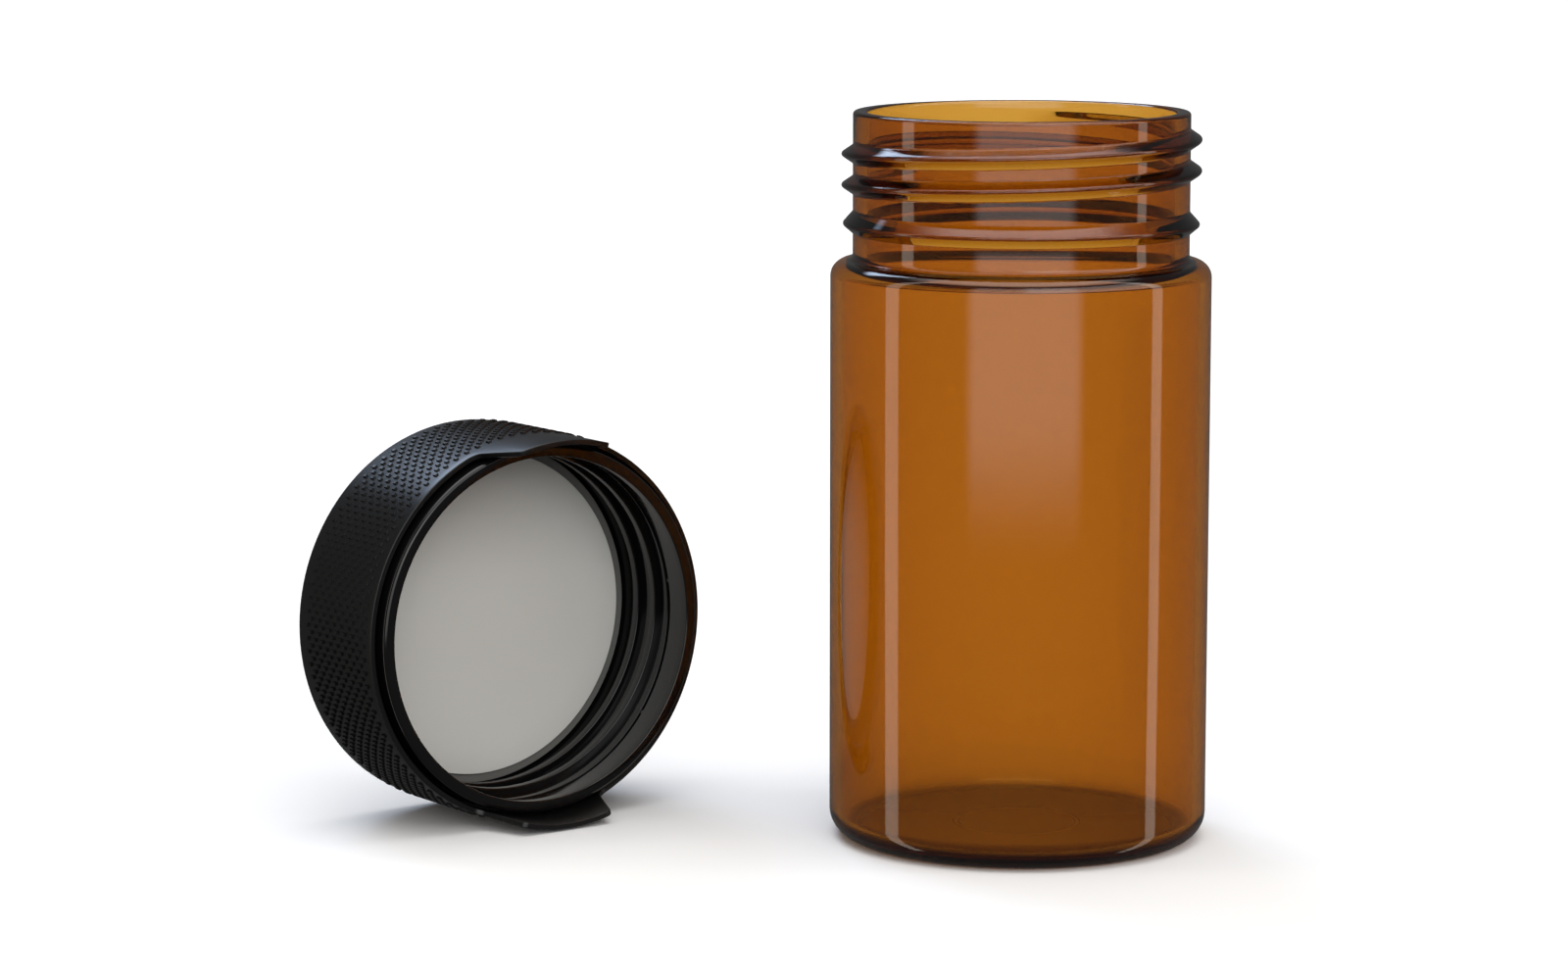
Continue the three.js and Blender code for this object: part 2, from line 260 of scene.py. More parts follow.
def rounded(corners: list[Corner], steps: int = 6, closed: bool = False) -> list[Point]:
    """Round the corners of an outline.

    Args:
        corners: Each corner as x, y and the radius of its rounding.
        steps: Straight steps in each rounding.
        closed: Whether the last corner joins the first.

    Returns:
        The outline's points in the same order.
    """
    count = len(corners)
    points: list[Point] = []
    for i, (x, y, radius) in enumerate(corners):
        ends = not closed and i in (0, count - 1)
        if radius <= 0 or ends:
            points.append((x, y))
            continue
        here = Vector((x, y))
        before = (Vector(corners[i - 1][:2]) - here).normalized()
        after = (Vector(corners[(i + 1) % count][:2]) - here).normalized()
        half = before.angle(after) / 2
        centre = here + (before + after).normalized() * (radius / math.sin(half))
        start = here + before * (radius / math.tan(half)) - centre
        end = here + after * (radius / math.tan(half)) - centre
        turn = start.angle_signed(end)
        for step in range(steps + 1):
            angle = turn * step / steps
            spoke = Vector((
                start.x * math.cos(angle) + start.y * math.sin(angle),
                start.y * math.cos(angle) - start.x * math.sin(angle),
            ))
            points.append(tuple(centre + spoke))
    return points


def refined(points: list[Point], low: float, high: float, step: float) -> list[Point]:
    """Split the upright stretches of a profile between two heights.

    Args:
        points: The profile as radius and height.
        low: Lowest height to split.
        high: Highest height to split.
        step: Longest step to leave.

    Returns:
        The profile with points added.
    """
    finer = [points[0]]
    for (r0, z0), (r1, z1) in zip(points, points[1:]):
        inside = min(z0, z1) >= low and max(z0, z1) <= high
        parts = max(1, math.ceil(abs(z1 - z0) / step)) if inside else 1
        finer += [(r0 + (r1 - r0) * k / parts, z0 + (z1 - z0) * k / parts) for k in range(1, parts + 1)]
    return finer


def turned(profile: list[Point], segments: int) -> list[np.ndarray]:
    """Turn a profile about the upright axis.

    Args:
        profile: Points as radius and height. A radius of nought becomes a pole.
        segments: Points round each ring.

    Returns:
        One ring of x, y, z points for each profile point.
    """
    angles = np.arange(segments) * (2 * math.pi / segments)
    rings = []
    for radius, height in profile:
        if radius < 1e-6:
            rings.append(np.array([[0.0, 0.0, height]]))
            continue
        level = np.full(segments, height)
        rings.append(np.stack([radius * np.cos(angles), radius * np.sin(angles), level], 1))
    return rings


def skinned(
    name: str, rings: list[np.ndarray], closed: bool = False, sharp: float = 35.0
) -> bpy.types.Object:
    """Join rings of points into one closed smooth mesh whose faces point outwards.

    Args:
        name: The new object's name.
        rings: Rings in metres. A ring of one point is a pole.
        closed: Whether the last ring joins the first. If it doesn't, an end ring that isn't a
            pole is capped.
        sharp: Edges that bend by more than this many degrees stay sharp.

    Returns:
        The new object.
    """
    starts = np.cumsum([0] + [len(ring) for ring in rings])
    faces: list[tuple[int, ...]] = []
    pairs = list(zip(range(len(rings)), range(1, len(rings))))
    if closed:
        pairs.append((len(rings) - 1, 0))
    for a, b in pairs:
        size = max(len(rings[a]), len(rings[b]))
        for i in range(size):
            j = (i + 1) % size
            low = [starts[a] + i % len(rings[a]), starts[a] + j % len(rings[a])]
            high = [starts[b] + j % len(rings[b]), starts[b] + i % len(rings[b])]
            faces.append(tuple(dict.fromkeys(int(v) for v in low + high)))
    if not closed:
        for at, ring in ((0, rings[0]), (len(rings) - 1, rings[-1])):
            if len(ring) > 1:
                faces.append(tuple(int(starts[at]) + i for i in range(len(ring))))
    mesh = bpy.data.meshes.new(name)
    mesh.from_pydata(np.concatenate(rings).tolist(), [], faces)
    shaping = bmesh.new()
    shaping.from_mesh(mesh)
    bmesh.ops.remove_doubles(shaping, verts=shaping.verts, dist=WELD_METRES)
    bmesh.ops.recalc_face_normals(shaping, faces=shaping.faces)
    shaping.to_mesh(mesh)
    shaping.free()
    mesh.shade_smooth()
    mesh.set_sharp_from_angle(angle=math.radians(sharp))
    made = bpy.data.objects.new(name, mesh)
    bpy.context.scene.collection.objects.link(made)
    return made


@dataclass(frozen=True)
class Helix:
    """The centre line of a right-handed thread, in millimetres and degrees."""

    start_angle: float
    start_height: float
    turns: float
    pitch: float = 4.233
    fade_turns: float = 0.07
    sunk: float = 0.15

    def height(self, turned_by: float) -> float:
        """Return the centre's height after a number of turns."""
        return self.start_height + turned_by * self.pitch

    def risen(self, turned_by: float) -> float:
        """Work out how far the ridge has risen out of its wall.

        Args:
            turned_by: Turns from the start.

        Returns:
            A share from 0 at either end to 1 away from them.
        """
        share = min(turned_by, self.turns - turned_by) / self.fade_turns
        share = max(0.0, min(1.0, share))
        return share * share * (3 - 2 * share)


def ridge_rings(
    helix: Helix, section: list[Point], bore: float, per_turn: int
) -> list[np.ndarray]:
    """Sweep the section of a thread inside a bore along its helix.

    Args:
        helix: The thread's centre line.
        section: Points along the axis and out of the wall. Points at or below nought stay put.
        bore: Radius of the bore's wall.
        per_turn: Sections in each turn.

    Returns:
        One ring of points for each section.
    """
    count = math.ceil(helix.turns * per_turn)
    rings = []
    for i in range(count + 1):
        turn = helix.turns * i / count
        angle = math.radians(helix.start_angle) + turn * 2 * math.pi
        risen = helix.risen(turn)
        ring = []
        for along, out in section:
            reach = out * risen - helix.sunk * (1 - risen) if out > 0 else out
            radius = bore - reach
            ring.append((radius * math.cos(angle), radius * math.sin(angle), helix.height(turn) + along))
        rings.append(np.array(ring))
    return rings


# ---------------------------------------------------------------- patterns made by geometry nodes


Sockets = dict[str, bpy.types.NodeSocket]
Block = Callable[[bpy.types.NodeTree, Sockets], bpy.types.NodeSocket]

PLACE_INPUTS = (
    "Rows", "Per Row", "Pitch", "Shift", "Step Angle", "Start Angle", "Radius", "Height",
    "Axis X", "Axis Z", "Rim Y",
)
PAD_INPUTS = ("Pad Length", "Pad Width", "Pad Height")
BAR_INPUTS = ("Bar Depth", "Bar Width", "Bar Rise")
PAD_FOOT_RADIUS = math.sqrt(0.5)
PAD_TOP_RADIUS = 0.62


def pattern_tree(name: str, labels: tuple[str, ...]) -> tuple[bpy.types.NodeTree, Sockets]:
    """Start a geometry node tree with named number inputs.

    Args:
        name: The tree's name.
        labels: The inputs' names. Each is nought until it is set.

    Returns:
        The tree, and its input sockets by name.
    """
    tree = bpy.data.node_groups.new(name, "GeometryNodeTree")
    tree.interface.new_socket("Geometry", in_out="INPUT", socket_type="NodeSocketGeometry")
    for label in labels:
        tree.interface.new_socket(label, in_out="INPUT", socket_type="NodeSocketFloat")
    tree.interface.new_socket("Geometry", in_out="OUTPUT", socket_type="NodeSocketGeometry")
    entry = add_node(tree, "NodeGroupInput")
    return tree, {label: entry.outputs[label] for label in labels}


def round_pattern(
    name: str, block: Block, labels: tuple[str, ...], material: bpy.types.Material
) -> bpy.types.NodeTree:
    """Build a tree that stands copies of a block round the closure's axis, row by row.

    The copies stand in rows along the axis, and every other row can be shifted. The block is
    drawn with its outward side along +X and the axis along +Z.

    Args:
        name: The tree's name.
        block: Function that adds the block's nodes, and returns its geometry socket.
        labels: Names of the inputs that the block reads.
        material: The finish of the copies.

    Returns:
        The tree. Its inputs are those of PLACE_INPUTS and the block's own.
    """
    tree, read = pattern_tree(name, PLACE_INPUTS + labels)
    first = add_node(tree, "ShaderNodeCombineXYZ", links={0: read["Radius"], 2: read["Height"]})
    pitch = add_node(tree, "ShaderNodeCombineXYZ", links={2: read["Pitch"]})
    line = add_node(tree, "GeometryNodeMeshLine", links={
        "Count": read["Per Row"], "Start Location": first.outputs[0], "Offset": pitch.outputs[0],
    })
    row = add_node(tree, "GeometryNodeInstanceOnPoints", links={
        "Points": line.outputs[0], "Instance": block(tree, read),
    })
    index = add_node(tree, "GeometryNodeInputIndex")
    turn = add_node(tree, "ShaderNodeMath", {"operation": "MULTIPLY_ADD"}, {
        0: index.outputs[0], 1: read["Step Angle"], 2: read["Start Angle"],
    })
    odd = add_node(tree, "ShaderNodeMath", {"operation": "MODULO"}, {0: index.outputs[0], 1: 2.0})
    lift = add_node(tree, "ShaderNodeMath", {"operation": "MULTIPLY"}, {0: odd.outputs[0], 1: read["Shift"]})
    raised = add_node(tree, "ShaderNodeCombineXYZ", links={2: lift.outputs[0]})
    spots = add_node(tree, "GeometryNodePoints", links={"Count": read["Rows"], "Position": raised.outputs[0]})
    facing = add_node(tree, "ShaderNodeCombineXYZ", links={2: turn.outputs[0]})
    ring = add_node(tree, "GeometryNodeInstanceOnPoints", links={
        "Points": spots.outputs[0], "Instance": row.outputs[0], "Rotation": facing.outputs[0],
    })
    origin = add_node(tree, "ShaderNodeCombineXYZ", links={
        0: read["Axis X"], 1: read["Rim Y"], 2: read["Axis Z"],
    })
    laid = add_node(tree, "GeometryNodeTransform", links={
        "Geometry": ring.outputs[0], "Translation": origin.outputs[0], "Rotation": (-math.pi / 2, 0, 0),
    })
    real = add_node(tree, "GeometryNodeRealizeInstances", links={0: laid.outputs[0]})
    dressed = add_node(tree, "GeometryNodeSetMaterial", links={
        "Geometry": real.outputs[0], "Material": material,
    })
    add_node(tree, "NodeGroupOutput", links={0: dressed.outputs[0]})
    return tree


def grown(name: str, tree: bpy.types.NodeTree, sizes: dict[str, float]) -> bpy.types.Object:
    """Run a geometry node tree and keep its result as a plain mesh.

    Args:
        name: The new object's name.
        tree: The tree.
        sizes: Values for the tree's inputs, by name.

    Returns:
        The new object, with no modifier left on it.
    """
    seed = bpy.data.objects.new(name + "_source", bpy.data.meshes.new(name + "_source"))
    bpy.context.scene.collection.objects.link(seed)
    modifier = seed.modifiers.new("pattern", "NODES")
    modifier.node_group = tree
    sizes = sizes | {"Step Angle": 2 * math.pi / sizes["Rows"]}
    for item in tree.interface.items_tree:
        if item.in_out == "INPUT" and item.name in sizes:
            modifier[item.identifier] = float(sizes[item.name])
    bpy.context.view_layer.update()
    evaluated = seed.evaluated_get(bpy.context.evaluated_depsgraph_get())
    mesh = bpy.data.meshes.new_from_object(evaluated)
    mesh.name = name
    seed.modifiers.remove(modifier)
    bpy.data.objects.remove(seed)
    made = bpy.data.objects.new(name, mesh)
    bpy.context.scene.collection.objects.link(made)
    return made


def pad_block(tree: bpy.types.NodeTree, read: Sockets) -> bpy.types.NodeSocket:
    """Draw one knurl pad: a low flat-topped block with steep sides and a foot one unit square.

    Args:
        tree: The tree.
        read: The tree's input sockets.

    Returns:
        The pad's geometry socket.
    """
    cone = add_node(tree, "GeometryNodeMeshCone", links={
        "Vertices": 4, "Radius Top": PAD_TOP_RADIUS, "Radius Bottom": PAD_FOOT_RADIUS,
        "Depth": read["Pad Height"],
    })
    squared = add_node(tree, "GeometryNodeTransform", links={
        "Geometry": cone.outputs["Mesh"], "Rotation": (0, 0, math.pi / 4),
    })
    scale = add_node(tree, "ShaderNodeCombineXYZ", links={
        0: read["Pad Length"], 1: read["Pad Width"], 2: 1.0,
    })
    return add_node(tree, "GeometryNodeTransform", links={
        "Geometry": squared.outputs[0], "Scale": scale.outputs[0], "Rotation": (0, math.pi / 2, 0),
    }).outputs[0]


def bar_block(tree: bpy.types.NodeTree, read: Sockets) -> bpy.types.NodeSocket:
    """Draw one plain bar, such as a bridge or a lug.

    Args:
        tree: The tree.
        read: The tree's input sockets.

    Returns:
        The bar's geometry socket.
    """
    size = add_node(tree, "ShaderNodeCombineXYZ", links={
        0: read["Bar Depth"], 1: read["Bar Width"], 2: read["Bar Rise"],
    })
    return add_node(tree, "GeometryNodeMeshCube", links={"Size": size.outputs[0]}).outputs["Mesh"]


# ---------------------------------------------------------------- the vial


@dataclass
class Vial:
    """The clear bottle: one moulded body with a threaded neck and a collar bead."""

    finish: ClearResin = field(default_factory=ClearResin)
    body_wall: float = 1.6
    base_thickness: float = 1.9
    base_corner: float = 3.6
    neck_step: float = 3.05
    neck_wall: float = 1.95
    neck_height: float = 19.4
    neck_fillet: float = 0.85
    rim_round: float = 0.45
    ledge_round: float = 0.8
    collar_rise: float = 4.1
    collar_depth: float = 1.4
    collar_tip: float = 0.12
    collar_round: float = 0.42
    collar_root_round: float = 0.12
    collar_drop: float = 1.3
    collar_up: float = 1.7
    thread_depth: float = 1.55
    thread_half_base: float = 1.3
    thread_half_crest: float = 0.25
    thread_tip_round: float = 0.3
    thread_from_rim: float = 2.6
    thread_from_collar: float = 4.5
    thread_angle: float = 79.0
    thread_fade_turns: float = 0.1
    push_up: float = 0.5
    push_up_radius: float = 21.4
    foot_slope: float = 0.8
    foot_round: float = 0.4
    mark_radius: float = 8.0
    mark_width: float = 0.9
    mark_depth: float = 0.2
    mark_slope: float = 0.2
    mark_round: float = 0.1
    segments: int = 240
    row_step: float = 0.12

    def __post_init__(self) -> None:
        """Read the body's place and outer size from the frame."""
        low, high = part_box("vial_body")
        self.centre = (Vector(low) + Vector(high)) / 2
        self.height = (high[2] - low[2]) / MM
        self.radius = (high[0] - low[0]) / 2 / MM

    def profile(self) -> list[Point]:
        """Draw the vial's section.

        Returns:
            Radius and height, from the middle of the underside round to the middle of the floor.
        """
        neck = self.radius - self.neck_step
        neck_foot = self.height - self.neck_height
        shoulder = neck_foot - self.neck_fillet
        shoulder_round = self.radius - neck - self.neck_fillet
        collar = neck_foot + self.collar_rise
        bore = self.radius - self.body_wall
        mark = self.push_up + self.mark_depth
        mark_end = self.mark_radius + self.mark_width
        corners = [
            (0, self.push_up, 0),
            (self.mark_radius, self.push_up, self.mark_round),
            (self.mark_radius + self.mark_slope, mark, self.mark_round),
            (mark_end - self.mark_slope, mark, self.mark_round),
            (mark_end, self.push_up, self.mark_round),
            (self.push_up_radius, self.push_up, self.foot_round),
            (self.push_up_radius + self.foot_slope, 0, self.foot_round),
            (self.radius, 0, self.base_corner),
            (self.radius, shoulder, shoulder_round),
            (neck, shoulder, self.neck_fillet),
            (neck, collar - self.collar_drop, self.collar_root_round),
            (neck + self.collar_depth + self.collar_tip, collar, self.collar_round),
            (neck, collar + self.collar_up, self.collar_root_round),
            (neck, self.height, self.rim_round),
            (neck - self.neck_wall, self.height, self.rim_round),
            (neck - self.neck_wall, shoulder - self.body_wall, self.ledge_round),
            (bore, shoulder - self.body_wall, self.ledge_round),
            (bore, self.base_thickness, self.base_corner - self.body_wall),
            (0, self.base_thickness, 0),
        ]
        return rounded(corners, steps=8)

    def thread(self) -> Helix:
        """Lay out the thread.

        Returns:
            Its helix, which starts above the collar and ends below the rim.
        """
        start = self.height - self.neck_height + self.collar_rise + self.thread_from_collar
        turns = (self.height - self.thread_from_rim - start) / Helix.pitch
        return Helix(self.thread_angle, start, turns, fade_turns=self.thread_fade_turns)

    def thread_out(self, helix: Helix, angle: float, height: float) -> float:
        """Work out how far the thread stands out of the neck at one place.

        Args:
            helix: The thread's centre line.
            angle: Angle round the neck, in radians.
            height: Height above the base.

        Returns:
            The distance out of the neck's wall.
        """
        slope = self.thread_depth / (self.thread_half_base - self.thread_half_crest)
        out = 0.0
        turn = ((angle - math.radians(helix.start_angle)) / (2 * math.pi)) % 1
        while turn <= helix.turns:
            away = abs(height - helix.height(turn))
            flank = max(0.0, (self.thread_half_base - away) * slope)
            # A smooth minimum of the flank and the depth rounds the crest's edges.
            blend = max(0.0, self.thread_tip_round - abs(flank - self.thread_depth)) / self.thread_tip_round
            flank = min(flank, self.thread_depth) - blend * blend * self.thread_tip_round / 4
            out = max(out, flank * helix.risen(turn))
            turn += 1
        return out

    def build(self) -> list[bpy.types.Object]:
        """Build the vial as one closed skin.

        Returns:
            The vial's object, alone in a list.
        """
        neck = self.radius - self.neck_step
        helix = self.thread()
        low = helix.start_height - self.thread_half_base
        high = self.height - self.rim_round + SLACK_MM
        profile = refined(self.profile(), low - self.thread_from_collar, high, self.row_step)
        rings = turned(profile, self.segments)
        for (radius, height), ring in zip(profile, rings):
            if radius < neck - SLACK_MM or not low < height < high:
                continue
            for i in range(self.segments):
                angle = 2 * math.pi * i / self.segments
                ring[i, :2] *= 1 + self.thread_out(helix, angle, height) / radius
        foot = Vector((self.centre.x, self.centre.y, self.centre.z - self.height / 2 * MM))
        vial = skinned("vial", [ring * MM + np.array(foot) for ring in rings], sharp=60.0)
        vial.data.materials.append(self.finish.make())
        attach(vial, "vial")
        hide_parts("vial_body")
        return [vial]


# ---------------------------------------------------------------- the closure


@dataclass(frozen=True)
class ClosureAxes:
    """The closure's own axes: heights run from the shell's rim towards its closed end."""

    axis_x: float
    axis_z: float
    rim_y: float
    radius: float
    height: float
    tab_length: float

    @classmethod
    def from_frame(cls, shell_height: float) -> "ClosureAxes":
        """Find the axes from the frame's shell node.

        Args:
            shell_height: Height of the shell above its rim, in millimetres.

        Returns:
            The axes, with the radius, the height and the tabs' length in millimetres.
        """
        low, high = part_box("outer_shell")
        return cls(
            axis_x=(low[0] + high[0]) / 2,
            axis_z=(low[2] + high[2]) / 2,
            rim_y=high[1] - shell_height * MM,
            radius=(high[0] - low[0]) / 2 / MM,
            height=shell_height,
            tab_length=(high[1] - low[1]) / MM - shell_height,
        )

    def laid(self, rings: list[np.ndarray]) -> list[np.ndarray]:
        """Lay rings drawn about an upright axis down on the closure's own axis.

        Args:
            rings: Rings of points in millimetres.

        Returns:
            The same rings in metres, where they lie.
        """
        out = []
        for ring in rings:
            x, y, h = ring[:, 0] * MM, ring[:, 1] * MM, ring[:, 2] * MM
            out.append(np.stack([self.axis_x + x, self.rim_y + h, self.axis_z - y], 1))
        return out

    def span(self, node: str) -> tuple[float, float, float]:
        """Read a closure node's outer radius and its lowest and highest heights, in millimetres."""
        low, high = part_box(node)
        return (high[0] - low[0]) / 2 / MM, (low[1] - self.rim_y) / MM, (high[1] - self.rim_y) / MM

    def inputs(self) -> dict[str, float]:
        """Return the pattern trees' inputs that say where the closure lies."""
        return {"Axis X": self.axis_x, "Axis Z": self.axis_z, "Rim Y": self.rim_y}


class Side(Enum):
    """Which side of a disc something stands on, along the closure's axis."""

    ABOVE = 1
    BELOW = -1


@dataclass(frozen=True)
class DriveLugs:
    """A ring of low bars on a disc's face, by which the shell turns the inner cap when pressed."""

    count: int = 12
    radius: float = 20.5
    length: float = 3.0
    width: float = 1.4
    rise: float = 0.4
    sunk: float = 0.4

    def build(
        self, name: str, axes: ClosureAxes, face: float, side: Side, material: bpy.types.Material
    ) -> bpy.types.Object:
        """Build the lugs.

        Args:
            name: The new object's name.
            axes: The closure's axes.
            face: Height of the face that they stand on.
            side: The side of the face that they stand on.
            material: Their finish.

        Returns:
            The lugs' object.
        """
        tree = round_pattern(name, bar_block, BAR_INPUTS, material)
        middle = face + side.value * (self.rise - self.sunk) / 2
        return grown(name, tree, axes.inputs() | {
            "Rows": self.count, "Per Row": 1, "Radius": self.radius * MM, "Height": middle * MM,
            "Bar Depth": self.length * MM, "Bar Width": self.width * MM,
            "Bar Rise": (self.rise + self.sunk) * MM,
        })


@dataclass
class OuterShell:
    """The shell that a hand turns: a knurled cup with two tabs past its rim."""

    axes: ClosureAxes
    finish: MouldedFinish = SHELL_POLYPROPYLENE
    wall: float = 1.0
    top: float = 1.3
    knurl_depth: float = 0.24
    closed_round: float = 1.2
    rim_round: float = 0.13
    rim_steps: int = 6
    inner_edge: float = 0.08
    tab_middles: tuple[float, float] = (-90.0, 90.0)
    tab_edge_round: float = 0.14
    tab_root: float = 10.1
    tab_tip: float = 7.3
    tab_root_fillet: float = 1.6
    tab_tip_round: float = 1.1
    tab_step: float = 0.5
    band_of_plain: float = 1.3
    bead_low: float = 4.35
    bead_high: float = 4.95
    bead_depth: float = 0.4
    bead_round: float = 0.1
    ceiling_fillet: float = 0.3
    knurl_rows: int = 180
    knurl_per_row: int = 8
    knurl_start: float = 2.0
    knurl_pitch: float = 1.974
    pad_length: float = 0.76
    pad_width: float = 0.54
    pad_sunk: float = 0.03
    column_step: float = 1.2

    def rim_line(self) -> list[tuple[float, float, float, float, float]]:
        """Trace the rim once round, over both tabs.

        Returns:
            For each column, its angle in radians, the rim's height, the direction into the
            material as around and up, and the radius of the rim's outer edge.
        """
        skin_radius = self.axes.radius - self.knurl_depth
        reach = self.tab_root + 2 * self.tab_root_fillet
        length = self.axes.tab_length
        tab = rounded([
            (-reach, 0, 0),
            (-self.tab_root, 0, self.tab_root_fillet),
            (-self.tab_tip, -length, self.tab_tip_round),
            (self.tab_tip, -length, self.tab_tip_round),
            (self.tab_root, 0, self.tab_root_fillet),
            (reach, 0, 0),
        ], steps=9)
        points: list[Point] = [tab[0]]
        for (x0, h0), (x1, h1) in zip(tab, tab[1:]):
            parts = max(1, math.ceil(math.hypot(x1 - x0, h1 - h0) / self.tab_step))
            points += [(x0 + (x1 - x0) * k / parts, h0 + (h1 - h0) * k / parts) for k in range(1, parts + 1)]
        columns = []
        half = math.degrees(math.asin(reach / skin_radius))
        span = 360 / len(self.tab_middles) - 2 * half
        steps = round(span / self.column_step)
        for middle in self.tab_middles:
            for i, (x, h) in enumerate(points):
                before = points[max(0, i - 1)]
                after = points[min(len(points) - 1, i + 1)]
                run = Vector((after[0] - before[0], after[1] - before[1])).normalized()
                on_tab = min(1.0, max(0.0, -h / self.tab_root_fillet))
                edge = self.rim_round + (self.tab_edge_round - self.rim_round) * on_tab
                columns.append((math.radians(middle) + math.asin(x / skin_radius), h, -run.y, run.x, edge))
            for k in range(1, steps):
                angle = math.radians(middle + half + span * k / steps)
                columns.append((angle, 0.0, 0.0, 1.0, self.rim_round))
        return columns

    def rings(self) -> list[np.ndarray]:
        """Build the shell's rings.

        Returns:
            Rings from the middle of its closed end, over the rim, to the middle of its ceiling.
        """
        columns = self.rim_line()
        outer = self.axes.radius - self.knurl_depth
        inner = self.axes.radius - self.wall
        plain = self.band_of_plain
        top = self.axes.height
        angles = np.array([c[0] for c in columns])

        def ring(radius: float, height: float) -> np.ndarray:
            """Return one level ring."""
            level = np.full(len(angles), height)
            return np.stack([radius * np.cos(angles), radius * np.sin(angles), level], 1)

        def rim_ring(radius_of: EdgeRule, inset_of: EdgeRule) -> np.ndarray:
            """Draw a ring that follows the rim.

            Args:
                radius_of: Gives the ring's radius from the rounding of the rim's outer edge.
                inset_of: Gives the ring's distance in from the rim from the same rounding.

            Returns:
                The ring's points.
            """
            out = []
            for angle, height, around, up, edge in columns:
                radius = radius_of(edge)
                inset = inset_of(edge)
                turn = angle + around * inset / outer
                out.append((radius * math.cos(turn), radius * math.sin(turn), height + up * inset))
            return np.array(out)

        end = rounded([(0, top, 0), (outer, top, self.closed_round), (outer, plain, 0)], steps=7)
        rows = [np.array([[0.0, 0.0, top]])] + [ring(r, h) for r, h in end[1:]]
        for step in range(self.rim_steps, -1, -1):
            angle = step / self.rim_steps * math.pi / 2
            rows.append(rim_ring(
                lambda edge, a=angle: outer - edge * (1 - math.sin(a)),
                lambda edge, a=angle: edge * (1 - math.cos(a)),
            ))
        rows.append(rim_ring(lambda edge: inner + self.inner_edge, lambda edge: 0.0))
        rows.append(rim_ring(lambda edge: inner, lambda edge: self.inner_edge))
        inside = rounded([
            (inner, plain, 0),
            (inner, self.bead_low - self.bead_depth, 0),
            (inner - self.bead_depth, self.bead_low, self.bead_round),
            (inner - self.bead_depth, self.bead_high, self.bead_round),
            (inner, self.bead_high, 0),
            (inner, top - self.top, self.ceiling_fillet),
            (0, top - self.top, 0),
        ], steps=3)
        rows += [ring(r, h) for r, h in inside[:-1]]
        rows.append(np.array([[0.0, 0.0, top - self.top]]))
        return rows

    def build(self) -> list[bpy.types.Object]:
        """Build the shell, its knurl and the drive lugs under its top.

        Returns:
            The three objects.
        """
        material = self.finish.make()
        shell = skinned("shell", self.axes.laid(self.rings()))
        shell.data.materials.append(material)
        tree = round_pattern("knurl_pads", pad_block, PAD_INPUTS, material)
        pads = grown("shell_knurl", tree, self.axes.inputs() | {
            "Rows": self.knurl_rows, "Per Row": self.knurl_per_row,
            "Pitch": self.knurl_pitch * MM, "Shift": self.knurl_pitch / 2 * MM,
            "Radius": (self.axes.radius - self.knurl_depth - self.pad_sunk) * MM,
            "Height": self.knurl_start * MM,
            "Pad Length": self.pad_length * MM, "Pad Width": self.pad_width * MM,
            "Pad Height": (self.knurl_depth + self.pad_sunk) * MM,
        })
        ceiling = self.axes.height - self.top
        lugs = DriveLugs().build("shell_lugs", self.axes, ceiling, Side.BELOW, material)
        for piece in (shell, pads, lugs):
            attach(piece, "shell")
        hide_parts("outer_shell")
        return [shell, pads, lugs]


